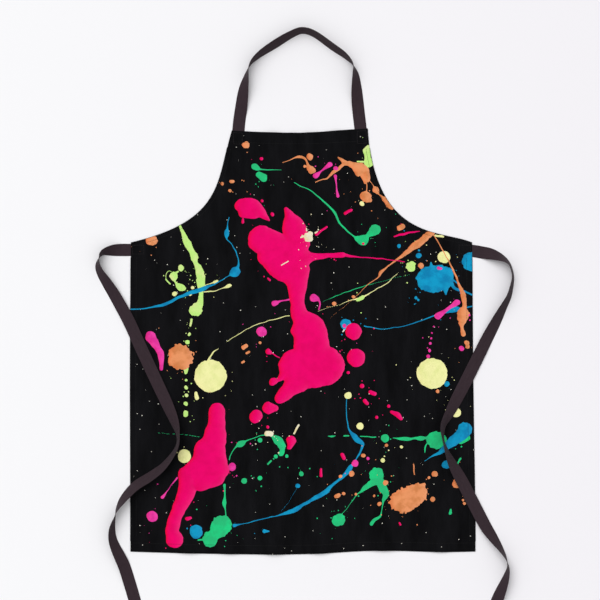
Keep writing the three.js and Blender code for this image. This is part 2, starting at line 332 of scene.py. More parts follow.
def times(tree, first, second, clamp=False):
    # the product, held between 0 and 1 when clamped
    return mathNode(tree, "MULTIPLY", first, second, clamp)


def plus(tree, first, second):
    # the sum
    return mathNode(tree, "ADD", first, second)


def sineNode(tree, item, factor):
    # the sine of the item times the factor
    return mathNode(tree, "SINE", times(tree, item, factor))


def noiseNode(tree, place, scale, detail, roughness):
    # cloudy noise, 0 to 1; three numbers as its scale stretch it
    if isinstance(scale, tuple):
        place = addNode(tree, "ShaderNodeMapping", {"Vector": place, "Scale": scale}).outputs[0]
        scale = 1.0
    feeds = {"Vector": place, "Scale": scale, "Detail": detail, "Roughness": roughness}
    return addNode(tree, "ShaderNodeTexNoise", feeds).outputs[0]


def rangeNode(tree, value, low, high, top=1.0, kind="LINEAR"):
    # 0 at low, top at high
    feeds = {"Value": value, "From Min": low, "From Max": high, "To Max": top}
    return addNode(tree, "ShaderNodeMapRange", feeds, interpolation_type=kind).outputs[0]


def objectPlace(tree):
    # the place on the piece, in metres
    return addNode(tree, "ShaderNodeTexCoord").outputs["Object"]


def mixColours(tree, factor, first, second, blend="MIX"):
    # the first colour at factor 0, blended with the second at factor 1
    node = addNode(tree, "ShaderNodeMix", {0: factor}, data_type="RGBA", blend_type=blend, clamp_factor=True)
    for socket, item in zip([s for s in node.inputs if s.type == "RGBA"], (first, second)):
        feed(tree, socket, item)
    return next(s for s in node.outputs if s.type == "RGBA")


weaveKind = {
    "slubScale": (420, 26, 1), "cloudScale": (60, 260, 1), "rib": 0.7, "cross": 0.3,
    "cloudShare": 0.75, "ribShare": 0.125,
}


def buildWeave():
    # plain weave: two crossed sets of threads, each the size of a sine, over and under in turn
    tree, take, give = newGroup(
        "plain_weave",
        [("Place", "NodeSocketVector", None), ("Threads per metre", "NodeSocketFloat", 1800.0)],
        [("Height", "NodeSocketFloat"), ("Shade", "NodeSocketFloat")],
    )
    spread = addNode(tree, "ShaderNodeVectorMath", {0: take["Place"], "Scale": take["Threads per metre"]},
                     operation="SCALE")
    across, along = addNode(tree, "ShaderNodeSeparateXYZ", {0: spread.outputs[0]}).outputs[:2]
    warp, weft = (mathNode(tree, "ABSOLUTE", sineNode(tree, axis, math.pi)) for axis in (across, along))
    square = plus(tree, mathNode(tree, "FLOOR", across), mathNode(tree, "FLOOR", along))
    over = mathNode(tree, "ABSOLUTE", sineNode(tree, square, math.pi / 2))
    under = mathNode(tree, "SUBTRACT", 1.0, over)
    feed(tree, give["Height"], plus(tree, times(tree, warp, over), times(tree, weft, under)))
    feed(tree, give["Shade"], noiseNode(tree, take["Place"], weaveKind["slubScale"], 3.0, 0.6))
    return tree


def buildTwill():
    # herringbone twill on a tape: sine ribs that slant away from its middle, and a finer sine across them
    tree, take, give = newGroup(
        "tape_twill",
        [("Place", "NodeSocketVector", None), ("Threads per metre", "NodeSocketFloat", 900.0)],
        [("Height", "NodeSocketFloat"), ("Shade", "NodeSocketFloat")],
    )
    along, across = addNode(tree, "ShaderNodeSeparateXYZ", {0: take["Place"]}).outputs[:2]
    slant = plus(tree, along, mathNode(tree, "ABSOLUTE", across))
    rib = sineNode(tree, times(tree, slant, take["Threads per metre"]), 2 * math.pi)
    cross = sineNode(tree, times(tree, along, take["Threads per metre"]), 4 * math.pi)
    height = plus(tree, times(tree, rib, weaveKind["rib"]), times(tree, cross, weaveKind["cross"]))
    cloud = noiseNode(tree, take["Place"], weaveKind["cloudScale"], 4.0, 0.65)
    raised = times(tree, plus(tree, rib, 1.0), weaveKind["ribShare"])
    feed(tree, give["Height"], height)
    feed(tree, give["Shade"], plus(tree, times(tree, cloud, weaveKind["cloudShare"]), raised))
    return tree


weave = buildWeave()
twill = buildTwill()


def newMaterial(name, roughness, sheen=0.0, sheenRoughness=0.5, specular=0.3):
    # a material with its plain numbers set on the shader's own sockets
    material = bpy.data.materials.new(name)
    material.use_nodes = True
    shader = material.node_tree.nodes["Principled BSDF"]
    for title, value in (("Roughness", roughness), ("Sheen Weight", sheen),
                         ("Sheen Roughness", sheenRoughness), ("Specular IOR Level", specular)):
        shader.inputs[title].default_value = value
    return material, material.node_tree, shader


def addFinish(tree, shader, colour, height, depth):
    # the colour all over, and the height as a bump that stands up by depth
    bump = addNode(tree, "ShaderNodeBump", {"Strength": 1.0, "Distance": depth, "Height": height})
    feed(tree, shader.inputs["Normal"], bump.outputs[0])
    feed(tree, shader.inputs["Base Color"], colour)


def placeGroup(tree, group, place, threads):
    # a weave's shade and height at a place
    node = addNode(tree, "ShaderNodeGroup", node_tree=group)
    feed(tree, node.inputs["Place"], place)
    feed(tree, node.inputs["Threads per metre"], threads)
    return node.outputs["Shade"], node.outputs["Height"]


def plainWeave(tree, threads):
    # it follows the place on the cloth
    return placeGroup(tree, weave, objectPlace(tree), threads)


def tapeTwill(tree, threads):
    # it follows the tape's own map
    return placeGroup(tree, twill, addNode(tree, "ShaderNodeUVMap", uv_map="lay").outputs[0], threads)


def twistedPlies(tree, threads):
    # slanting bands, a little uneven
    feeds = {"Vector": objectPlace(tree), "Scale": threads, "Distortion": 1.5, "Detail": 1.0}
    ply = addNode(tree, "ShaderNodeTexWave", feeds, wave_type="BANDS", bands_direction="DIAGONAL")
    return ply.outputs["Fac"], ply.outputs["Fac"]


def wovenMaterial(name, pattern, threads, depth, dark, light, **surface):
    # from the dark colour to the light one by the pattern's shade, with its height as the bump
    material, tree, shader = newMaterial(name, **surface)
    shade, height = pattern(tree, threads)
    addFinish(tree, shader, mixColours(tree, shade, linear(dark), linear(light)), height, depth)
    return material


def printedCloth(settings):
    # the ground is black with lengthwise streaks of painted fold shade, lighter and darker; each painted face
    # brings its ink, which mixes its two tones in soft patches, is redder on one flank of a pool and paler on
    # the other, and darkens a little in clouds
    material, tree, shader = newMaterial("printed_cloth_face", 0.88, 0.015, 0.4, 0.08)
    place = objectPlace(tree)
    slub, height = plainWeave(tree, settings["threads"])
    ink, second, side, painted = (
        addNode(tree, "ShaderNodeAttribute", attribute_name=name).outputs[kind]
        for name, kind in (
            ("ink", "Color"), ("inkSecond", "Color"), ("inkSide", "Fac"), ("inkPainted", "Fac")))
    # painted shade of faint folds: noise stretched up the cloth makes lengthwise streaks, lighter and darker,
    # mixed with the yarn's slub
    foldStreaks = rangeNode(tree, noiseNode(tree, place, settings["foldStreakScale"], 4.0, 0.62), *settings["foldStreakRange"])
    tone = plus(tree, times(tree, foldStreaks, 0.6), times(tree, slub, 0.4))
    ground = mixColours(tree, tone, linear(settings["groundDark"]), linear(settings["groundLight"]))
    patch = rangeNode(tree, noiseNode(tree, place, settings["patchScale"], 3.0, 0.6), *settings["patchRange"],
                      settings["patch"], "SMOOTHSTEP")
    paint = mixColours(tree, patch, ink, second)
    for way, tint, blend in ((1.0, "flankWarm", "MULTIPLY"), (-1.0, "flankCold", "SCREEN")):
        paint = mixColours(tree, times(tree, side, way, True), paint, linear(settings[tint]), blend)
    cloud = noiseNode(tree, place, settings["mottleScale"], 3.0, 0.55)
    paint = mixColours(tree, times(tree, cloud, settings["mottle"], True), paint,
                       linear(settings["mottleColour"]), "MULTIPLY")
    addFinish(tree, shader, mixColours(tree, painted, ground, paint), height, settings["depth"])
    return material


clothFace = printedCloth({
    "threads": 1800.0, "depth": 0.00012, "groundDark": "#010102", "groundLight": "#131316",
    "foldStreakScale": (26, 7, 1), "foldStreakRange": (0.34, 0.66), "flankWarm": "#FFB48C", "flankCold": "#38304A",
    "patchScale": 46.0, "patchRange": (0.40, 0.66), "patch": 0.7,
    "mottle": 0.25, "mottleScale": 55.0, "mottleColour": "#BDB0B0",
})
turnedCloth = wovenMaterial("turned_cloth_edge", plainWeave, 1800.0, 0.00012, "#08080A", "#101012",
                            roughness=0.88, sheen=0.015, specular=0.2)
clothReverse = wovenMaterial("cloth_unprinted_side", plainWeave, 1800.0, 0.00012, "#CFCBC4", "#E2DED8",
                             roughness=0.9, sheen=0.05, specular=0.2)
tapeCloth = wovenMaterial("aubergine_twill_tape", tapeTwill, 620.0, 0.00010, "#261B21", "#3D3036",
                          roughness=0.85, sheen=0.05, sheenRoughness=0.45, specular=0.15)
bodyThread = wovenMaterial("black_thread", twistedPlies, 700.0, 0.00008, "#060607", "#101011",
                           roughness=0.6, sheen=0.02, sheenRoughness=0.4, specular=0.2)
tapeThread = wovenMaterial("aubergine_thread", twistedPlies, 700.0, 0.00008, "#120D10", "#241B20",
                           roughness=0.55, sheen=0.1, sheenRoughness=0.4, specular=0.2)
print("stage: the finishes are mixed")

tapeKind = {
    "width": 0.025, "thickness": 0.00075, "selvedge": 0.0012, "selvedgeSwell": 0.3, "swellSharp": 6,
    "curl": 0.0007, "curlCell": 0.05, "curlBias": 0.6, "curlLevel": 0.4, "ringStep": 0.002, "across": 18,
    "overCloth": 0.0021, "settle": (0.014, 0.034),
}

# share of the way from the middle line to the strap's sewn place, metres above the bib, roll in degrees
strapRoute = [
    (-1, -0.030, 0), (-0.995, -0.011, 0), (-0.985, 0.008, 0), (-0.968, 0.027, 0), (-0.944, 0.047, -8),
    (-0.915, 0.075, -27), (-0.885, 0.096, -48), (-0.815, 0.130, -90), (-0.66, 0.152, -112),
    (-0.39, 0.175, -125), (-0.12, 0.195, -118), (0.05, 0.202, -114), (0.25, 0.194, -114),
    (0.54, 0.168, -116), (0.725, 0.151, -109), (0.85, 0.134, -90), (0.896, 0.116, -60),
    (0.912, 0.094, -38), (0.925, 0.070, -18), (0.942, 0.047, -5), (0.960, 0.027, 0),
    (0.978, 0.008, 0), (0.992, -0.011, 0), (1, -0.030, 0),
]
# metres out from the waist corner, metres above the tie's middle line, roll in degrees
leftTieRoute = [
    (-0.030, 0, 0), (-0.008, 0, 0), (0.005, 0, 0), (0.017, 0, 0), (0.034, -0.001, -24),
    (0.050, -0.004, -54), (0.058, -0.008, -74), (0.062, -0.014, -90), (0.065, -0.021, -104),
    (0.066, -0.033, -122), (0.061, -0.047, -134), (0.049, -0.066, -150), (0.030, -0.097, -168),
    (0.005, -0.143, -176), (-0.022, -0.202, -178), (-0.048, -0.258, -176), (-0.073, -0.311, -165),
    (-0.089, -0.348, -140), (-0.096, -0.374, -112), (-0.096, -0.394, -106), (-0.087, -0.414, -112),
    (-0.066, -0.440, -124), (-0.040, -0.460, -136), (-0.009, -0.480, -138), (0.014, -0.505, -128),
    (0.027, -0.526, -106), (0.032, -0.543, -88), (0.037, -0.563, -68), (0.037, -0.583, -56),
    (0.031, -0.603, -44), (0.015, -0.638, -20), (0.003, -0.676, -6), (-0.008, -0.714, 0),
    (-0.016, -0.744, 0), (-0.022, -0.772, 0), (-0.027, -0.802, 0),
]
rightTieRoute = [
    (-0.030, 0, 0), (-0.008, -0.001, 0), (0.005, -0.0025, 0), (0.019, -0.005, 0), (0.036, -0.008, -18),
    (0.052, -0.013, -42), (0.066, -0.020, -62), (0.075, -0.029, -74), (0.080, -0.042, -75),
    (0.082, -0.056, -73), (0.080, -0.071, -68), (0.074, -0.094, -60), (0.0625, -0.117, -48),
    (0.046, -0.150, -26), (0.025, -0.191, -8), (-0.008, -0.258, 0), (-0.030, -0.300, -10),
    (-0.048, -0.334, -36), (-0.058, -0.352, -54), (-0.061, -0.368, -66), (-0.059, -0.388, -78),
    (-0.052, -0.410, -66), (-0.042, -0.432, -44), (-0.023, -0.466, -14), (0, -0.510, -4),
    (0.025, -0.558, -14), (0.042, -0.584, -38), (0.057, -0.606, -62), (0.068, -0.626, -80),
    (0.072, -0.643, -92), (0.070, -0.657, -106), (0.064, -0.676, -124), (0.055, -0.700, -146),
    (0.046, -0.726, -166), (0.038, -0.752, -180), (0.032, -0.778, -180), (0.027, -0.805, -180),
]


def smoothRoute(points, perPoint=24):
    # a uniform Catmull-Rom curve through the points, carried straight on at both ends
    p = np.array(points, float)
    p = np.vstack([2 * p[0] - p[1], p, 2 * p[-1] - p[-2]])
    a, b, c, d = p[:-3], p[1:-2], p[2:-1], p[3:]
    t = np.linspace(0, 1, perPoint, endpoint=False)[:, None, None]
    curve = 2 * b + (c - a) * t + (2 * a - 5 * b + 4 * c - d) * t**2 + (3 * b - a - 3 * c + d) * t**3
    return np.vstack([curve.transpose(1, 0, 2).reshape(-1, p.shape[1]) / 2, p[-2]])


def tapeSection(kind):
    # the closed section: flat, swollen by a bell over the selvedge cords, rounded off at both edges as the
    # root of 1 less the square of the share
    half = kind["width"] / 2
    across = -np.cos(np.linspace(0, math.pi, kind["across"])) * half
    inside = np.clip((half - np.abs(across)) / kind["selvedge"], 0, 1)
    swell = 1 + kind["selvedgeSwell"] * np.exp(-((inside - 1) ** 2) * kind["swellSharp"]) * (inside < 1)
    depth = kind["thickness"] / 2 * np.sqrt(1 - (1 - inside) ** 2) * swell
    under = np.stack([across, -depth], axis=1)
    over = np.stack([across[-2:0:-1], depth[-2:0:-1]], axis=1)
    return np.vstack([under, over])


def tapeRings(kind, centre, roll, seed, firstBend):
    # the section square to the route, turned by its roll, curled in a parabola, and lifted until it lies on
    # what is below: the table, or past its first bend also the cloth
    along = lengthAlong(centre)
    places = np.linspace(0, along[-1], round(along[-1] / kind["ringStep"]) + 1)
    x, y = (np.interp(places, along, centre[:, k]) for k in (0, 1))
    turn = np.radians(np.interp(places, along, roll))
    dx, dy = np.gradient(x), np.gradient(y)
    size = np.hypot(dx, dy)
    left = np.stack([-dy / size, dx / size, 0 * x], axis=1)
    up = np.array([0, 0, 1.0])
    acrossWay = left * np.cos(turn)[:, None] + up * np.sin(turn)[:, None]
    throughWay = up * np.cos(turn)[:, None] - left * np.sin(turn)[:, None]
    rise = (kind["width"] * np.abs(np.sin(turn)) + kind["thickness"] * np.abs(np.cos(turn))) / 2
    beyond = np.maximum.reduce([np.abs(x) - halfWidthAt(x, y), bodyBottom - y, 0 * x])
    onCloth = (1 - smooth(beyond, *kind["settle"])) * (places > firstBend)
    lift = onCloth * (kind["overCloth"] + np.maximum(clothRise(x, y), 0))
    middle = np.stack([x, y, rise + lift], axis=1)
    section = tapeSection(kind)
    curl = kind["curl"] * np.sin(turn) ** 2
    curl = curl * (latticeNoise(places, 0 * places, kind["curlCell"], seed) + kind["curlBias"])
    share = section[:, 0] / section[:, 0].max()
    through = section[:, 1] + curl[:, None] * (share**2 - kind["curlLevel"])
    grid = (middle[:, None] + acrossWay[:, None] * section[:, 0, None]
            + throughWay[:, None] * through[:, :, None])
    sunk = np.maximum(-grid[:, :, 2].min(axis=1), 0)
    grid[:, :, 2] += sunk[:, None]
    middle[:, 2] += sunk
    return grid, middle, places


def addTape(name, kind, centre, roll, seed, firstBend=math.inf):
    # a tape as one closed tube, with its own map, and the path of its middle
    grid, middle, places = tapeRings(kind, centre, roll, seed, firstBend)
    obj = addMesh(name, grid, tubeFaces(*grid.shape[:2]), tapeCloth)
    addLayMap(obj, places, tapeSection(kind)[:, 0])
    return obj, middle


neckLoop = {"seed": 21, "fold": (0.002, 0.016), "length": 0.588}
strapCurve = smoothRoute(strapRoute)
strapCentre = np.stack([strapCurve[:, 0] * strapX + bodyCut["bibLean"], bibTop + strapCurve[:, 1]], axis=1)
neckStrap, strapPath = addTape("neck_strap_tape", tapeKind, strapCentre, strapCurve[:, 2], neckLoop["seed"])
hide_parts("neck_strap", "neck_strap_left_end", "neck_strap_right_end")
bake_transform(neckStrap)

# bend is metres along the tape to its first bend, swing the heights between which it swings, at swingX
waistTies = {
    "left": {"route": leftTieRoute, "bend": 0.110, "swing": (0.174, 0.160), "seed": 22, "length": 0.990},
    "right": {"route": rightTieRoute, "bend": 0.120, "swing": (0.1665, 0.150), "seed": 23, "length": 0.966},
}
for side, tie in waistTies.items():
    tieCurve = smoothRoute(tie["route"])
    tieX = sides[side] * (bodyCut["waistHalf"] + tieCurve[:, 0])
    tieCentre = np.stack([tieX, tieY + tieCurve[:, 1]], axis=1)
    tie["piece"], tie["path"] = addTape(f"{side}_waist_tie_tape", tapeKind, tieCentre, tieCurve[:, 2],
                                        tie["seed"], tie["bend"])
    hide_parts(f"{side}_tie_sewn_end", f"{side}_waist_tie")
    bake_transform(tie["piece"])
tapePaths = [strapPath] + [tie["path"] for tie in waistTies.values()]
print("stage: tapes", [round(float(lengthAlong(path)[-1]), 4) for path in tapePaths])

# a stroke is a list of points, and a drop a point alone, each of x right of the middle line, y above the
# cloth's middle and radius, in millimetres; a later ink lies over an earlier one; second is its other tone,
# flank how far its sides are tinted, rough the share of a stroke's radius that its edge wanders, spatter its
# number of droplets, fine its number of specks
inks = {
    "chalk": {
        "colour": "#EFEDE0", "second": "#EFEDE0", "flank": 0, "rough": 0.1, "fine": 280, "strokes": [
            (-325, -150, 1), (-258, -166, 1), (-160, -148, 1), (-58, -22, 1.2), (66, 140, 1.2),
            (60, 121, 1.1), [(88, 27, 1.6), (84, 21, 1)], (171, 71, 1), (120, -18, 1), (296, 26, 1),
        ],
    },
    "lemon": {
        "colour": "#FCFCB2", "second": "#E9F09C", "flank": 0.15, "rough": 0.03, "spatter": 50, "strokes": [
            (-185, -69, 33), (266, -64, 30.9), (290, 173, 12.6), (94, -109, 6.9), (118, -171, 6.9),
            [(-190, -37, 2.4), (-180, -22, 2.6), (-169, -13, 1)], (314, -143, 9.2), (-240, -232, 13.6),
            [(-215, -104, 2.8), (-213, -114, 4.1)], (-258, 98, 4.7), (-226, 98, 4.5), (-222, 111, 3.3),
            [(-178, 122, 3.3), (-172, 124, 2.8), (-192, 117, 1.4), (-202, 112, 1.6)],
            [(-199, 102, 2), (-178, 104, 1.8), (-162, 109, 1.4), (-149, 114, 4.5), (-144, 115, 3.3)],
            [(-153, 0, 1), (-125, 18, 1.2), (-101, 31, 1.4), (-75, 41, 1.4), (-25, 54, 1.6)],
            [(33, 63, 1), (70, 74, 1), (101, 85, 1.4), (121, 90, 3.5), (133, 95, 2.2), (150, 106, 1.4),
             (166, 115, 1.6), (186, 130, 1.2), (198, 141, 0.8)], [(273, 217, 2.4), (288, 214, 2)],
            (164, -242, 4.5), (202, -214, 3.1), (124, 281, 4.7),
        ],
    },
    "lime": {
        "colour": "#C7F887", "second": "#E6F2A4", "flank": 0.1, "rough": 0.13, "spatter": 80, "strokes": [
            [(-248, 240, 2.8), (-238, 214, 4.9), (-230, 199, 7.3), (-223, 183, 5.3), (-218, 173, 7.7),
             (-215, 162, 4.5), (-207, 144, 7.7), (-205, 125, 9.6), (-205, 109, 6.1), (-205, 94, 4.5),
             (-207, 78, 6.9), (-215, 65, 13.4)], [(-224, 45, 2.4), (-226, 33, 1.8)], (-228, 16, 3.1),
            (-231, 0, 4.5), [(-235, -50, 4.7), (-235, -62, 3.3)], (-235, -77, 2.8), (-235, -92, 3.9),
            (-235, -108, 3.5), (-236, -125, 4.5), [(-237, -143, 4.1), (-237, -148, 4.1)],
            (-245, 151, 6.3), [(-260, 134, 8.3), (-256, 122, 2.4), (-245, 111, 7.3), (-235, 109, 1.8)],
            [(-275, 128, 1.2), (-275, 138, 1.4), (-270, 144, 1.4), (-263, 143, 1.2)],
            [(-275, 128, 1.2), (-266, 118, 1.2)], [(-251, 143, 1.6), (-257, 138, 2)], (223, 154, 10),
            [(114, 86, 3.1), (124, 91, 4.3)], [(137, 390, 9.2), (138, 376, 5.7), (140, 364, 9.8)],
            [(116, 368, 1.6), (128, 367, 2)],
        ],
    },
    "green": {
        "colour": "#2BC37D", "second": "#1FE08A", "flank": 0.1, "rough": 0.08, "spatter": 100, "strokes": [
            [(-92, 358, 7.3), (-80, 353, 2.8), (-62, 352, 1.8), (-38, 351, 1)],
            [(-84, 342, 6.5), (-76, 335, 8.3)],
            [(-13, 324, 1.4), (-1, 318, 2), (20, 308, 1.8), (45, 288, 2.6), (65, 268, 3.1), (73, 254, 3.3),
             (79, 241, 2.8), (93, 226, 2.6), (106, 216, 2.6), (115, 210, 6.1), (126, 207, 10.2),
             (135, 217, 4.5), (150, 228, 11.2)],
            [(43, 82, 0.6), (68, 93, 1.2), (103, 106, 1.5), (132, 115, 1.2), (166, 124, 0.8),
             (219, 137, 0.6)],
            [(-149, -239, 1.8), (-141, -222, 1.6), (-132, -211, 3.1), (-125, -207, 5.9), (-113, -201, 2.2),
             (-95, -194, 1.4), (-78, -189, 1.6), (-62, -192, 2.6), (-49, -199, 8.5), (-42, -210, 7.3),
             (-40, -220, 5.3), (-44, -227, 5.1)], (-54, -232, 4.1), (-86, -199, 4.9), (-32, -231, 3.5),
            [(-64, -242, 1.6), (-70, -248, 1.6)], [(-59, -237, 1.4), (-58, -237, 1.4)], (-118, -282, 5.9),
            (-87, -277, 4.5), (-2, -268, 4.9), [(-165, -373, 20.8), (-178, -389, 12.2),
             (-189, -401, 15.5)], [(-202, -402, 2), (-213, -403, 1.6)],
            [(-159, -291, 3.7), (-158, -309, 2.2), (-159, -327, 4.5), (-158, -342, 1.8),
             (-157, -358, 2.4)], (151, -271, 14.9),
            [(150, -283, 9.2), (131, -296, 5.3), (115, -309, 2.2), (99, -329, 1.2), (80, -351, 1.2)],
            (73, -364, 13.2),
            [(154, -281, 9.2), (162, -297, 9), (169, -311, 6.9), (163, -326, 3.5), (161, -344, 1.6),
             (158, -358, 3.1), (146, -366, 3.7), (139, -375, 4.1)],
            [(52, -191, 1.6), (60, -192, 3.1), (68, -190, 1.2)], [(85, -191, 1.2), (95, -191, 1.2)],
            [(119, -192, 1), (150, -193, 1)], (168, -196, 7.9),
            [(184, -195, 1.4), (209, -197, 4.3), (227, -196, 3.1), (241, -196, 4.7), (255, -195, 3.7),
             (270, -199, 16.7), (276, -199, 17.1)], [(257, -201, 1.6), (250, -212, 2.4), (249, -224, 1.6)],
            [(323, -202, 5.7), (335, -195, 6.1)], [(322, -237, 1.8), (316, -248, 1.4)],
            [(300, -343, 1.8), (300, -350, 3.1)], [(-296, -185, 0.8), (-257, -187, 0.8), (-207, -193, 1)],
        ],
    },
    "blue": {
        "colour": "#12A0D0", "second": "#0C78AE", "flank": 0.25, "rough": 0.08, "spatter": 60, "strokes": [
            [(-147, 254, 1.4), (-150, 236, 2), (-152, 221, 5.1), (-151, 209, 1.8), (-143, 199, 1.6),
             (-134, 185, 2), (-129, 173, 2), (-128, 160, 2.6), (-132, 149, 4.9), (-135, 142, 9.4),
             (-146, 135, 2), (-162, 126, 1.8), (-182, 116, 2.8), (-205, 107, 5.1), (-227, 99, 4.3),
             (-247, 92, 3.5), (-278, 77, 3.7), (-308, 70, 2.4), (-333, 67, 2), (-353, 66, 2.4)],
            [(259, 128, 24.8), (282, 130, 26.9)], (294, 139, 14.7), (268, 118, 18.7),
            [(264, 151, 4.5), (264, 161, 1.4)], [(293, 106, 5.1), (294, 97, 1.6)],
            [(249, 128, 13.2), (234, 129, 1.4)],
            [(304, 118, 4.1), (314, 108, 3.5), (331, 103, 2.8), (355, 92, 2.6)],
            [(306, 126, 2), (321, 119, 1.6)], (346, 164, 19.5),
            [(128, 33, 2.2), (150, 28, 1.5), (174, 27, 1.4), (208, 33, 1.5), (237, 42, 1.7), (270, 54, 2),
             (295, 61, 3.3), (311, 66, 5.7), (327, 68, 2.8), (355, 74, 1.8)],
            [(92, -116, 1.4), (91, -144, 1.6), (93, -168, 2), (99, -183, 3.3), (111, -197, 5.5),
             (122, -207, 4.1), (121, -216, 3.1), (113, -234, 2), (105, -245, 2), (97, -257, 4.7),
             (86, -271, 4.3), (64, -288, 3.3), (45, -306, 5.1), (25, -317, 4.3), (0, -331, 3.5),
             (-20, -342, 4.7), (-56, -352, 1.8), (-94, -362, 2), (-121, -369, 1.4), (-139, -373, 4.1)],
            (-217, -386, 13.4), [(-78, -384, 3.9), (-70, -384, 1.6)], (-10, -292, 5.3),
            [(-12, -297, 0.8), (-27, -322, 0.8), (-43, -342, 0.8)], (198, 195, 3.7), (239, 176, 5.5),
            (239, 187, 2.2), (232, 90, 3.1), (237, 86, 2.6), (296, -85, 5.7),
            [(331, -178, 14.7), (321, -191, 11.4), (305, -203, 9.8), (294, -212, 7.3), (282, -223, 4.9),
             (261, -234, 1.8), (248, -243, 1)], (292, -250, 8.5), (90, 36, 11),
        ],
    },
    "orange": {
        "colour": "#F39E69", "second": "#D08048", "flank": 0.6, "rough": 0.13, "spatter": 100, "strokes": [
            (-110, 403, 7.1), (-305, 208, 11.6), (-246, -31, 25.6), (-159, 322, 3.7),
            [(-142, 326, 3.1), (-138, 326, 3.1)], (-143, 308, 3.5),
            [(-35, 367, 1.4), (-16, 375, 2), (0, 381, 3.5), (10, 375, 3.1), (16, 364, 3.3),
             (23, 351, 7.9)], (20, 380, 6.7), (10, 359, 2.8),
            [(30, 325, 1.4), (54, 334, 2.2), (67, 346, 3.7), (78, 354, 3.5), (91, 366, 4.1)],
            [(78, 377, 2.6), (91, 366, 4.7), (104, 362, 5.7), (116, 355, 9.2), (122, 350, 10.2)],
            [(109, 362, 4.1), (118, 344, 6.5)],
            [(124, 360, 5.5), (133, 349, 6.9), (137, 336, 5.7), (137, 327, 3.1)],
            [(128, 338, 5.3), (131, 325, 2.6)], (112, 350, 3.3),
            [(133, 330, 2.2), (135, 312, 1.8), (133, 296, 3)], (133, 295, 11), (126, 300, 5.3),
            (141, 289, 4.7),
            [(140, 330, 1.8), (147, 318, 1.6), (153, 309, 5.9), (158, 302, 2.6), (164, 297, 2.8),
             (170, 290, 5.1), (177, 283, 6.1), (184, 273, 4.1)], [(199, 232, 5.5), (206, 235, 5.9)],
            [(268, 224, 4.5), (260, 219, 6.1), (251, 212, 7.3), (238, 201, 7.5), (222, 189, 5.5),
             (206, 176, 3.9), (191, 165, 2.8), (176, 153, 2.4), (161, 141, 4.1), (155, 131, 2),
             (133, 115, 1.2), (100, 83, 0.8), (56, 47, 0.6)],
            [(268, 220, 2), (288, 187, 1.8), (300, 163, 2.2), (310, 143, 2.8), (321, 116, 3.1),
             (329, 94, 5.3), (331, 71, 4.9), (329, 54, 12.4), (327, 33, 4.3), (330, 16, 4.9)],
            (336, -1, 4.7), (338, -9, 4.3), (243, 155, 5.7), [(-118, -11, 4.5), (-113, -8, 4.5)],
            [(-111, -22, 2.4), (-107, -20, 2.4)], [(-121, -41, 2), (-117, -39, 2)], (-84, -2, 2.8),
            (67, 78, 4.5), (105, 92, 3.3), (269, -269, 6.7), (257, -277, 3.1), (314, -288, 10.2),
            (264, -321, 5.3), (326, -323, 2.4), (329, -330, 3.1), (277, -100, 3.7),
            [(202, -326, 24.8), (217, -319, 24.4), (233, -310, 21.2)],
            [(192, -328, 14.2), (175, -330, 2.4)], [(243, -295, 6.1), (248, -291, 2.8)], (168, -289, 5.3),
            (100, -269, 5.5), (77, -273, 3.5), [(69, -315, 4.7), (72, -314, 4.7)], (83, -310, 3.7),
            (109, -312, 2.8), (155, -333, 4.3), (145, -315, 2.6), [(122, -230, 3.5), (125, -231, 3.5)],
            (171, -210, 3.3), [(226, -248, 1), (228, -271, 1.2)],
        ],
    },
    "magenta": {
        "colour": "#F843AE", "second": "#D8208C", "flank": 0.4, "rough": 0.03, "spatter": 44, "strokes": [
            [(-307, 10, 11.4), (-301, 1, 9), (-294, -10, 6.5), (-287, -22, 6.7), (-285, -41, 4.7),
             (-286, -55, 4.1)], (-81, 21, 10.2), [(-55, 79, 6.1), (-44, 83, 2.6), (-23, 87, 2.8)],
            [(25, 90, 7.9), (34, 85, 3.5), (38, 77, 2.4), (35, 67, 2.6)], (-307, -357, 11.2),
            [(-255, -277, 2.8), (-272, -299, 1.4), (-285, -317, 3.9)],
            [(316, 80, 6.5), (306, 73, 4.3), (292, 63, 4.1), (278, 53, 6.9)], (341, 55, 2.2),
            (343, 44, 1.6), (269, 32, 1.6), (266, 18, 1.8), (264, 7, 2.2), (263, -3, 2.8),
            (261, -17, 3.3), (258, -29, 4.3), (326, -13, 5.3),
            [(31, 339, 6.1), (44, 350, 2.6), (60, 363, 5.1)],
            [(72, 339, 3.9), (73, 317, 2), (75, 297, 3.9)], (72, 355, 4.5), (107, -247, 6.9),
            (133, -237, 3.1), (-143, -253, 8.1), (88, 33, 4.1), [(278, 151, 3.1), (284, 150, 2.4)],
        ],
    },
    "pink": {
        "colour": "#F70070", "second": "#EC0066", "flank": 1.0, "rough": 0.018, "spatter": 90, "strokes": [
            [(-120, 277, 14.7), (-104, 277, 16.7), (-90, 269, 14.2), (-76, 257, 6.9), (-66, 248, 2.8)],
            [(-118, 263, 10.2), (-94, 263, 12.2)],
            [(-30, 269, 4.9), (-23, 254, 11.4), (-15, 232, 23.4), (-9, 204, 26.5)],
            [(-80, 208, 29.1), (-44, 191, 28.5), (-17, 173, 34.6)],
            [(-68, 175, 21.4), (-40, 155, 28.5), (-13, 147, 29.5)],
            [(-11, 142, 27.5), (-9, 110, 18.9), (-9, 81, 14.2), (-5, 57, 17.5)],
            [(3, 45, 20.4), (17, 22, 33.6), (21, -16, 36.6)], (-3, 24, 18.3),
            [(-9, -51, 37.6), (21, -51, 42.7), (48, -49, 39.3)],
            [(-3, -73, 28.5), (-23, -94, 16.3), (-38, -109, 13.2), (-45, -116, 9.8)],
            [(-34, -65, 10.2), (-48, -77, 4.1), (-58, -81, 8.1)],
            [(3, 171, 18.3), (21, 173, 8.5), (54, 176, 4.7), (84, 177, 5.5)],
            [(84, 177, 4.3), (119, 172, 2), (154, 170, 2.2), (180, 167, 1.6), (209, 164, 1.8)],
            [(-67, -134, 12.6), (-54, -135, 6.1)], [(-95, -153, 12.2), (-92, -149, 11.8)],
            (106, 21, 16.7), (111, -32, 18.7), [(-68, -19, 5.7), (-64, -21, 3.7)],
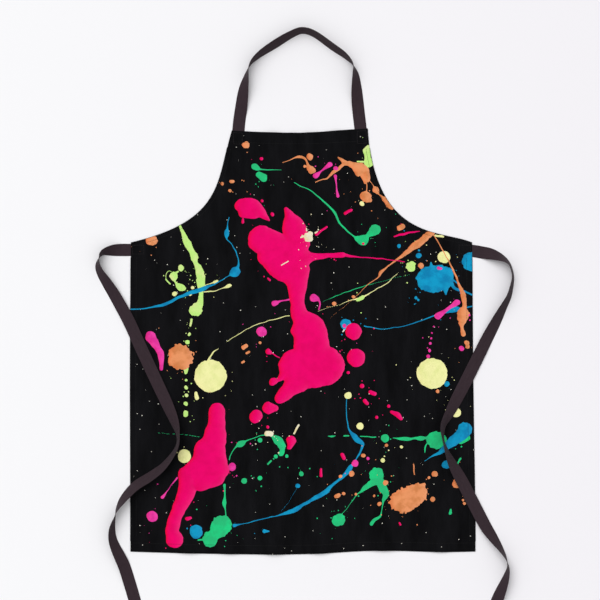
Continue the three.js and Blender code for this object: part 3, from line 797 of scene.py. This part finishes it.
            [(-60, -23, 1), (-46, -32, 1)], (95, -62, 3.1), (123, -89, 4.7),
            [(139, -102, 3.7), (149, -106, 3.7)], [(129, -119, 4.1), (133, -124, 4.1)], (176, -131, 3.3),
            [(183, -142, 3.7), (194, -148, 4.9), (201, -156, 4.1)], (152, -153, 3.3), (-70, -173, 3.1),
            [(-173, -140, 16.3), (-174, -169, 18.3), (-178, -199, 24.4)],
            [(-188, -224, 32.6), (-189, -248, 36.6)], [(-211, -260, 28.5), (-233, -270, 19.3)],
            (-166, -260, 17.3),
            [(-233, -275, 19.3), (-235, -301, 17.9), (-245, -326, 15.5), (-258, -354, 13),
             (-265, -383, 13.8), (-261, -403, 17.7)], [(-207, -283, 20.4), (-178, -271, 21.4)],
            [(-22, -200, 9.8), (-26, -214, 4.9)], [(-235, -360, 3.9), (-229, -358, 3.1)],
            [(-118, 244, 2.8), (-118, 250, 2)], (-79, 288, 3.1), (-58, 260, 3.9), (-79, 376, 3.3),
            [(89, 261, 3.1), (102, 268, 3.3)], [(189, 214, 2.4), (212, 221, 3.1), (240, 226, 1.6)],
            [(30, 219, 2.8), (52, 234, 1.8)], [(81, -229, 3.9), (84, -236, 3.7)],
            [(38, -259, 2.2), (38, -273, 2.6)], [(196, -372, 1.8), (198, -376, 2)],
            [(-68, 130, 2), (-64, 126, 2)], (126, 200, 2.6),
        ],
    },
    "cream": {
        "colour": "#F4F0D4", "second": "#E6D48E", "flank": 0.1, "rough": 0.12, "spatter": 46, "strokes": [
            [(15, 214, 10.6), (18, 219, 6.1)], [(3, 215, 2), (-2, 213, 1.2)],
            [(28, 222, 1.6), (32, 225, 1)], [(11, 226, 1.6), (10, 231, 1)],
            [(-71, -186, 5.5), (-63, -187, 5.5)], [(-16, -186, 1.6), (-7, -169, 2.4)],
            [(-41, 156, 1), (-27, 165, 1.2)],
        ],
    },
}
# a long stroke's radius is multiplied by thinShare below the first of thinRange and by 1 above the second
speckles = {
    "seed": 11, "field": 0.00095, "margin": 0.004, "warp": 0.0011, "warpCell": 0.011, "roughCell": 0.0042,
    "join": 0.003, "joinShare": 0.5, "thinnest": 0.00030, "thinShare": 0.42, "thinRange": (0.0008, 0.0055),
    "fineRadius": (0.0005, 0.0011), "headRadius": 0.0025, "nearReach": (0.003, 0.060),
    "nearRadius": (0.0006, 0.0017), "pad": (1.3, 0.008),
}


def strokeField(x, y, stroke, rough, wander):
    # how deep a place is inside a stroke: the radius there less the distance from the stroke's line
    depth = np.full(x.shape, -1.0)
    starts, ends = (stroke, stroke) if len(stroke) == 1 else (stroke[:-1], stroke[1:])
    for start, end in zip(starts, ends):
        distance, share = alongLine(x, y, start, end)
        radius = start[2] + share * (end[2] - start[2])
        depth = np.maximum(depth, radius * (1 + rough * wander) - distance)
    return depth


def joinFields(a, b, reach):
    # the deeper of two fields, run together like wet paint where they are within reach of each other
    near = np.maximum(reach - np.abs(a - b), 0) / reach
    return np.maximum(a, b) + near * near * reach / 4


def spatterDrops(settings, rng, strokes, count):
    # droplets thrown from the larger strokes: each at a random turn and reach from one of them
    heads = np.array([s[rng.integers(len(s))] for s in strokes])
    if not count:
        return []
    heads = heads[heads[:, 2] > settings["headRadius"]]
    at = heads[rng.choice(len(heads), count, p=heads[:, 2] / heads[:, 2].sum())]
    away = at[:, 2] + rng.uniform(*settings["nearReach"], count) * rng.uniform(0.2, 1, count)
    turn = rng.uniform(0, 2 * math.pi, count)
    small = rng.uniform(*settings["nearRadius"], count) * rng.uniform(0.5, 1, count)
    drops = np.stack([at[:, 0] + away * np.cos(turn), at[:, 1] + away * np.sin(turn), small], axis=1)
    return list(drops[:, None])


def paintFields(settings):
    # each ink's depth over a square grid that covers the cloth: above 0 is painted
    margin = settings["margin"]
    xs = np.arange(-bodyCut["hemHalf"] - margin, bodyCut["hemHalf"] + margin, settings["field"])
    ys = np.arange(bodyBottom - margin, bibTop + margin, settings["field"])
    gridX, gridY = np.meshgrid(xs, ys)
    warpedX, warpedY = (grid + settings["warp"] * latticeNoise(gridX, gridY, settings["warpCell"], seed)
                        for grid, seed in ((gridX, 1), (gridY, 2)))
    wander = latticeNoise(gridX, gridY, settings["roughCell"], 3)
    rng = np.random.default_rng(settings["seed"])
    fields = []
    for ink in inks.values():
        strokes = [np.atleast_2d(s) * 0.001 for s in ink["strokes"]]
        strokes = [smoothRoute(s, 5) if len(s) > 2 else s for s in strokes]
        strokes += spatterDrops(settings, rng, strokes, ink.get("spatter"))
        fine = ink.get("fine", 0)
        if fine:
            strokes += list(np.stack([rng.uniform(xs[0], xs[-1], fine), rng.uniform(ys[0], ys[-1], fine),
                                      rng.uniform(*settings["fineRadius"], fine)], axis=1)[:, None])
        depth = np.full(gridX.shape, -1.0)
        for stroke in strokes:
            if len(stroke) > 2:
                full = smooth(stroke[:, 2], *settings["thinRange"])
                thin = settings["thinShare"] + (1 - settings["thinShare"]) * full
                stroke[:, 2] = np.maximum(stroke[:, 2] * thin, settings["thinnest"])
            pad = stroke[:, 2].max() * settings["pad"][0] + settings["pad"][1]
            left, right = np.searchsorted(xs, [stroke[:, 0].min() - pad, stroke[:, 0].max() + pad])
            low, high = np.searchsorted(ys, [stroke[:, 1].min() - pad, stroke[:, 1].max() + pad])
            if low == high or left == right:
                continue
            part = np.s_[low:high, left:right]
            new = strokeField(warpedX[part], warpedY[part], stroke, ink["rough"], wander[part])
            reach = min(settings["join"], settings["joinShare"] * np.median(stroke[:, 2]))
            depth[part] = joinFields(depth[part], new, reach)
        fields.append(depth)
    return xs, ys, fields


def edgeLines(xs, ys, depth):
    # marching squares: where depth crosses 0 along the grid's lines, joined inside each square
    step = xs[1] - xs[0]
    points, ids = [], []
    count = 0
    for axis in (1, 0):
        a, b = (depth[:, :-1], depth[:, 1:]) if axis else (depth[:-1], depth[1:])
        crossed = (a > 0) != (b > 0)
        j, i = np.nonzero(crossed)
        share = np.clip(a[crossed] / (a[crossed] - b[crossed]), 0.02, 0.98)
        points.append(np.stack([xs[i] + share * step * axis, ys[j] + share * step * (1 - axis)], axis=1))
        number = np.full(a.shape, -1)
        number[crossed] = count + np.arange(len(i))
        count += len(i)
        ids.append(number)
    flat, tall = ids
    around = np.stack([flat[:-1], tall[:, 1:], flat[1:], tall[:, :-1]], axis=-1).reshape(-1, 4)
    hits = (around >= 0).sum(axis=1)
    pairs = np.sort(around[hits == 2], axis=1)[:, 2:]
    double = around[hits == 4]
    return np.vstack(points), np.vstack([pairs, double[:, :2], double[:, 2:]])


def sampleGrid(xs, ys, values, x, y):
    # straight-line blending between the grid's four nearest values
    step = xs[1] - xs[0]
    u = np.clip((x - xs[0]) / step, 0, len(xs) - 1.001)
    v = np.clip((y - ys[0]) / step, 0, len(ys) - 1.001)
    i, j = u.astype(int), v.astype(int)
    fu, fv = u - i, v - j
    return ((values[j, i] * (1 - fu) + values[j, i + 1] * fu) * (1 - fv)
            + (values[j + 1, i] * (1 - fu) + values[j + 1, i + 1] * fu) * fv)


frontPanel = {
    "coarse": 0.0065, "fine": 0.0034, "seamBand": 0.010, "clearOfPaint": 0.0014, "clearOfRim": 0.0015,
    "paintPast": 0.001, "merge": 1e-6, "slopeDepths": (-0.002, 0.02), "flankReach": 0.005,
}


def hexPoints(step):
    # points on a hexagonal lattice: rows the root of 3/4 steps apart, every other one half a step on
    ys = np.arange(bodyBottom + step, bibTop - step / 2, step * math.sqrt(0.75))
    xs = np.arange(-bodyCut["hemHalf"], bodyCut["hemHalf"], step)
    gridX, gridY = np.meshgrid(xs, ys)
    gridX = gridX + (np.arange(len(ys)) % 2)[:, None] * step / 2
    return np.stack([gridX.ravel(), gridY.ravel()], axis=1)


def insideCut(x, y, past):
    # whether a place is inside the cut, or less than past outside it
    return (np.abs(x) < halfWidthAt(x, y) + past) & (y > bodyBottom - past) & (y < bibTop + past)


def triangulate(settings, xs, ys, fields):
    # the cut's outline and every painted edge are kept as lines; hexagonal points fill the rest, finer at
    # the seams
    top = straight([-bodyCut["bibHalf"], bibTop], [bodyCut["bibHalf"], bibTop])
    bottom = straight([bodyCut["hemHalf"], bodyBottom], [-bodyCut["hemHalf"], bodyBottom])
    loop = np.vstack([top[:-1], bodyEdges[1][:-1], bottom[:-1], (bodyEdges[-1][::-1] * (-1, 1))[:-1]])
    count = len(loop)
    points, lines = [loop], [np.stack([np.arange(count), (np.arange(count) + 1) % count], axis=1)]
    for depth in fields:
        edge, pairs = edgeLines(xs, ys, depth)
        pairs = pairs[insideCut(*edge.T, settings["paintPast"])[pairs].all(axis=1)]
        used, compact = np.unique(pairs, return_inverse=True)
        lines.append(compact.reshape(-1, 2) + count)
        points.append(edge[used])
        count += len(used)
    shallowest = np.min(np.abs(np.stack(fields)), axis=0)
    for step, fine in ((settings["coarse"], False), (settings["fine"], True)):
        fill = hexPoints(step)
        x, y = fill.T
        gap = edgeGap(x, y)
        nearSeam = np.abs(rowGaps(gap, y)).min(axis=0) < settings["seamBand"]
        rim = np.minimum.reduce([gap, bibTop - y, y - bodyBottom])
        clear = sampleGrid(xs, ys, shallowest, x, y) > settings["clearOfPaint"]
        points.append(fill[(rim > settings["clearOfRim"]) & clear & (nearSeam == fine)])
    corners = [Vector(p) for p in np.vstack(points).tolist()]
    found = delaunay_2d_cdt(corners, np.vstack(lines).tolist(), [], 0, settings["merge"])
    flat = np.array([tuple(v) for v in found[0]])
    faces = np.array(found[2])
    return flat, faces[insideCut(*flat[faces].mean(axis=1).T, 0)]


def paintFaces(settings, mesh, flat, faces, xs, ys, fields):
    # each triangle takes the topmost ink at its middle, and each corner how far it faces the ink's left
    # flank: the depth's slope across, fading as e to the power of minus the depth over flankReach
    middle = flat[faces].mean(axis=1)
    corners = flat[faces.ravel()]
    colour = np.zeros((len(faces), 4))
    colour[:, 3] = 1
    second = colour.copy()
    painted = np.zeros(len(faces))
    side = np.zeros(len(corners))
    for depth, ink in zip(fields, inks.values()):
        under = sampleGrid(xs, ys, depth, *middle.T) > 0
        slope = np.gradient(np.clip(depth, *settings["slopeDepths"]), xs[1] - xs[0], axis=1)
        flank = np.clip(slope, -1, 1) * np.exp(-np.maximum(depth, 0) / settings["flankReach"])
        colour[under] = linear(ink["colour"])
        second[under] = linear(ink["second"])
        painted[under] = 1
        cornerUnder = np.repeat(under, 3)
        side[cornerUnder] = ink["flank"] * sampleGrid(xs, ys, flank, *corners[cornerUnder].T)
    for name, kind, domain, key, values in (
            ("ink", "FLOAT_COLOR", "FACE", "color", colour),
            ("inkSecond", "FLOAT_COLOR", "FACE", "color", second),
            ("inkPainted", "FLOAT", "FACE", "value", painted),
            ("inkSide", "FLOAT", "CORNER", "value", side)):
        mesh.attributes.new(name, kind, domain).data.foreach_set(key, values.astype(np.float32).ravel())


def addFront(settings):
    # the laid cut, painted face by face, with a wall of the cloth's thickness and its own reverse
    xs, ys, fields = paintFields(speckles)
    flat, faces = triangulate(settings, xs, ys, fields)
    laid = layCloth(np.column_stack([flat, np.full(len(flat), panelTop)]))
    front = addMesh("printed_front_cloth", laid, faces.tolist(), clothFace)
    paintFaces(settings, front.data, flat, faces, xs, ys, fields)
    front.data.materials.append(clothReverse)
    wall = front.modifiers.new("cloth_thickness", "SOLIDIFY")
    wall.thickness = panelTop - panelUnder
    wall.offset = -1
    wall.material_offset = 1
    wall.material_offset_rim = 0
    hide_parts("front_panel")
    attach(front, "apron")
    print("stage: front of", len(faces), "triangles a side")
    return front


frontCloth = addFront(frontPanel)

hemKind = {
    "clear": 0.00003, "lift": 0.00012, "inner": 0.0004, "foldSteps": 7, "flatSteps": 5, "flatFrom": 0.0015,
    "edgeTaper": 0.0002, "endsIn": 0.0004, "step": 0.004, "clearOfTie": 0.0006,
    "armholeClear": (0.035, 0.008),
}


def hemSection(depth):
    # inward from the fold, and height: a flat turning under the cloth, its outer edge a half circle round
    # the cloth's own
    roll = panelTop / 2
    gap, lift, steps, taper = hemKind["clear"], hemKind["lift"], hemKind["flatSteps"], hemKind["edgeTaper"]
    turn = np.linspace(-math.pi / 2, math.pi / 2, hemKind["foldSteps"])
    fold = np.stack([-roll * np.cos(turn), np.maximum(roll + roll * np.sin(turn), lift)], axis=1)
    flat = np.linspace(hemKind["flatFrom"], depth - hemKind["inner"], steps)
    back = np.stack([flat[::-1], np.full(steps, lift)], axis=1)
    over = np.stack([flat, np.full(steps, panelUnder - gap)], axis=1)
    inner = [[depth, panelUnder - taper], [depth, lift + taper]]
    return np.vstack([back, fold, [[-gap, panelTop - gap], [-gap, panelUnder - gap]], over, inner])


def crossHem(depth, edgeY, way):
    # a hem right across the cloth: its ends follow the cloth's own edges
    section = hemSection(depth)
    share = np.linspace(-1, 1, round(2 * float(halfWidthAt(1, edgeY)) / hemKind["step"]) + 1)[:, None]
    y = edgeY + way * section[:, 0]
    x = share * (halfWidthAt(share, np.clip(y, bodyBottom, bibTop)[None]) - hemKind["endsIn"])
    return np.stack([x, np.broadcast_to(y, x.shape), np.broadcast_to(section[:, 1], x.shape)], axis=-1)


def edgeHem(depth, edge, sign):
    # a hem along a side or an armhole: the section set square to the edge
    edge = evenly(edge, hemKind["step"])
    section = hemSection(depth)
    flat = edge[:, None] + inwardFrom(edge)[:, None] * section[:, 0, None]
    grid = np.concatenate([flat, np.broadcast_to(section[:, 1], flat.shape[:2])[..., None]], axis=-1)
    return grid * (sign, 1, 1)


def addHem(node, name, grid):
    # a turned hem as one closed tube that lies as the cloth does
    hem = addMesh(name, layCloth(grid), tubeFaces(*grid.shape[:2]), turnedCloth)
    return sewOn(hem, node, "apron")


stitchKind = {
    "length": 0.0029, "pitch": 0.0034, "halfWidth": 0.00034, "halfHeight": 0.00024, "proud": 0.00004,
    "sunk": 0.00016, "thinnest": 0.04, "rings": 6, "places": 6, "aim": 0.0005,
    "inset": 0.0025, "boxInset": 0.0005, "endsIn": 0.004,
}


def stitchGrid(line, base):
    # one small rounded thread for each stitch of the line: along it by t, round it by a cosine and a sine; it
    # thins as the root of 1 - t^6, and its ends dip into the cloth as t^4
    kind = stitchKind
    along = lengthAlong(line)
    count = max(1, int(along[-1] / kind["pitch"]))
    centre = (np.arange(count) + 0.5) * along[-1] / count
    before, at, after = (np.stack([np.interp(centre + shift, along, line[:, k]) for k in (0, 1)], axis=1)
                         for shift in (-kind["aim"], 0, kind["aim"]))
    ahead = (after - before) / np.linalg.norm(after - before, axis=1)[:, None]
    t = np.linspace(-1, 1, kind["rings"])[:, None]
    turn = np.linspace(0, 2 * math.pi, kind["places"], endpoint=False)
    thick = np.sqrt(np.maximum(1 - t**6, kind["thinnest"]))
    lengthways = (kind["length"] / 2 * t + 0 * turn)[..., None]
    sideways = (kind["halfWidth"] * thick * np.cos(turn))[..., None]
    height = base + kind["proud"] - kind["sunk"] * t**4 + kind["halfHeight"] * thick * np.sin(turn)
    ahead = ahead[:, None, None]
    flat = at[:, None, None] + ahead * lengthways + ahead[..., ::-1] * (-1, 1) * sideways
    return np.concatenate([flat, np.broadcast_to(height, flat.shape[:3])[..., None]], axis=-1)


def addStitches(node, name, line, material):
    # a row of stitches on the cloth
    grid = stitchGrid(line, panelTop)
    row = addMesh(name, layCloth(grid), tubeFaces(*grid.shape[1:3], len(grid)), material)
    return sewOn(row, node, "apron")


def offsetLine(edge, depth, sign):
    # the line that runs depth inside an edge, put on its own side
    return (edge + inwardFrom(edge) * depth) * (sign, 1)


def boxLine(node):
    # round the edge of a node's own box, a little inside it
    low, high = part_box(node)
    inset = stitchKind["boxInset"]
    x0, x1, y0, y1 = low[0] + inset, high[0] - inset, low[1] + inset, high[1] - inset
    return np.array([[x0, y0], [x1, y0], [x1, y1], [x0, y1], [x0, y0]])


# the side hems stop short of the ties and the bottom hem, the armhole hems short of the ties and the top hem
tieGap, bibGap = hemKind["armholeClear"]
armholeParts = {
    sign: edge[(edge[:, 1] < bibTop - bodyCut["topHem"] - bibGap) & (edge[:, 0] < -tieLow[0] - tieGap)]
    for sign, edge in armholeEdges.items()}
sidePart = sideEdge[(sideEdge[:, 1] > bodyBottom + bodyCut["bottomHem"] + hemKind["clearOfTie"])
                    & (sideEdge[:, 1] < tieLow[1] - hemKind["clearOfTie"])]
for end, edgeY, way in (("top", bibTop, -1), ("bottom", bodyBottom, 1)):
    addHem(f"{end}_hem", f"{end}_hem_turned", crossHem(bodyCut[f"{end}Hem"], edgeY, way))
for side, sign in sides.items():
    sideGrid = edgeHem(bodyCut["sideHem"], sidePart, sign)
    armholeGrid = edgeHem(bodyCut["binding"], armholeParts[sign], sign)
    addHem(f"{side}_side_hem", f"{side}_side_hem_turned", sideGrid)
    addHem(f"{side}_armhole_binding", f"{side}_armhole_turned", armholeGrid)
print("stage: hems")

inset = stitchKind["inset"]
for end, edgeY, way in (("top", bibTop, -1), ("bottom", bodyBottom, 1)):
    y = edgeY + way * (bodyCut[f"{end}Hem"] - inset)
    left, right = (float(halfWidthAt(sign, y)) - stitchKind["endsIn"] for sign in (-1, 1))
    addStitches(f"{end}_hem_stitching", f"{end}_hem_stitches", np.array([[-left, y], [right, y]]),
                bodyThread)
for side, sign in sides.items():
    for row, edge, depth in (("side", sidePart, "sideHem"), ("armhole", armholeParts[sign], "binding")):
        addStitches(f"{side}_{row}_stitching", f"{side}_{row}_stitches",
                    offsetLine(edge, bodyCut[depth] - inset, sign), bodyThread)
    for node in (f"neck_strap_{side}_box_stitch", f"{side}_tie_box_stitch"):
        addStitches(node, f"{node}es", boxLine(node), tapeThread)
print("stage: stitches")

tieEnd = {
    "turn": 0.014, "turnFrom": 0.0008, "stitchIn": 0.0025, "edgeIn": 0.002, "clear": 0.00004,
    "floor": 0.00002, "foldSteps": 9, "flatSteps": 6, "across": 13, "aimRings": 6,
}


def addTieEnd(side, tie, kind, settings):
    # the last of the tape, folded back over itself: flat on top, its outer edge a half circle round the end
    end = tie["path"][-1]
    back = (tie["path"][-settings["aimRings"]] - end)[:2]
    back = back / np.linalg.norm(back)
    sideWay = np.array([-back[1], back[0]])
    thick, clear, steps = kind["thickness"], settings["clear"], settings["flatSteps"]
    turn = np.linspace(-math.pi / 2, math.pi / 2, settings["foldSteps"])
    fold = np.stack([-thick * np.cos(turn), thick + thick * np.sin(turn)], axis=1)
    flat = np.linspace(settings["turnFrom"], settings["turn"], steps)
    over = np.stack([flat, np.full(steps, 2 * thick)], axis=1)
    under = np.stack([np.append(flat[::-1], -clear), np.full(steps + 1, thick + clear)], axis=1)
    section = np.vstack([fold, over, under, [[-clear, settings["floor"]]]])
    widths = np.linspace(-1, 1, settings["across"]) * kind["width"] / 2
    flatPlace = end[:2] + back * section[None, :, 0, None] + sideWay * widths[:, None, None]
    height = np.broadcast_to(section[:, 1], flatPlace.shape[:2])
    grid = np.concatenate([flatPlace, height[..., None]], axis=-1)
    hem = addMesh(f"{side}_waist_tie_turned_end", grid, tubeFaces(*grid.shape[:2]), tapeCloth)
    addLayMap(hem, widths, lengthAlong(section))
    at = end[:2] + back * (settings["turn"] - settings["stitchIn"])
    reach = sideWay * (kind["width"] / 2 - settings["edgeIn"])
    rowGrid = stitchGrid(np.array([at - reach, at + reach]), 2 * thick)
    row = addMesh(f"{side}_tie_end_stitches", rowGrid, tubeFaces(*rowGrid.shape[1:3], len(rowGrid)),
                  tapeThread)
    sewOn(hem, f"{side}_tie_end_hem", f"{side}_tie")
    sewOn(row, f"{side}_tie_end_stitch", f"{side}_tie")
    return hem, row


for side, tie in waistTies.items():
    tie["ends"] = addTieEnd(side, tie, tapeKind, tieEnd)
print("stage: tie ends")

# air is the light that the world gives, sky how bright it looks
# the table's two colours paint the falloff of the light from the left into the paper: lighter at the left,
# darker at the right
studio = {
    "tableHalf": 40.0, "tableLitLeft": "#F4F4F6", "tableShadedRight": "#EFEDF1", "shadeReach": 0.6,
    "key": {"energy": 1.62, "angle": 50, "turn": -148, "height": 52},
    "fill": {"energy": 0.45, "angle": 120, "turn": 20, "height": 80},
    "air": 0.505, "sky": 0.9,
}


def addTable(settings):
    # one wide square, its paper painted a shade darker to the right: painted falloff of the light from the
    # left
    half = settings["tableHalf"]
    mesh = bpy.data.meshes.new("studio_table")
    corners = [(-half, -half, 0), (half, -half, 0), (half, half, 0), (-half, half, 0)]
    mesh.from_pydata(corners, [], [(0, 1, 2, 3)])
    table = bpy.data.objects.new("studio_table", mesh)
    bpy.context.collection.objects.link(table)
    material, tree, shader = newMaterial("studio_paper_painted_falloff", 0.9, specular=0.1)
    across = addNode(tree, "ShaderNodeSeparateXYZ", {0: objectPlace(tree)}).outputs[0]
    share = rangeNode(tree, across, -settings["shadeReach"], settings["shadeReach"])
    # painted light falloff: the paper's colour runs from the lighter left colour to the darker right one
    paintedFalloffPaper = mixColours(tree, share, linear(settings["tableLitLeft"]), linear(settings["tableShadedRight"]))
    feed(tree, shader.inputs["Base Color"], paintedFalloffPaper)
    mesh.materials.append(material)


def addSun(name, settings):
    # turn 0 shines from the foot of the cloth, 90 from its right; height is above the table
    data = bpy.data.lights.new(name, "SUN")
    data.energy = settings["energy"]
    data.angle = math.radians(settings["angle"])
    lamp = bpy.data.objects.new(name, data)
    lamp.rotation_euler = (math.radians(90 - settings["height"]), 0, math.radians(settings["turn"]))
    bpy.context.collection.objects.link(lamp)


addTable(studio)
addSun("soft_key", studio["key"])
addSun("soft_fill", studio["fill"])
world = bpy.data.worlds.new("studio_air")
world.use_nodes = True
background = world.node_tree.nodes["Background"].inputs
background["Color"].default_value = (1, 1, 1, 1)
seen = addNode(world.node_tree, "ShaderNodeLightPath").outputs["Is Camera Ray"]
glow = addNode(world.node_tree, "ShaderNodeMapRange",
               {"Value": seen, "To Min": studio["air"], "To Max": studio["sky"]}).outputs[0]
feed(world.node_tree, background["Strength"], glow)
bpy.context.scene.world = world
bpy.context.scene.view_settings.view_transform = "Standard"
print("stage: table and light")
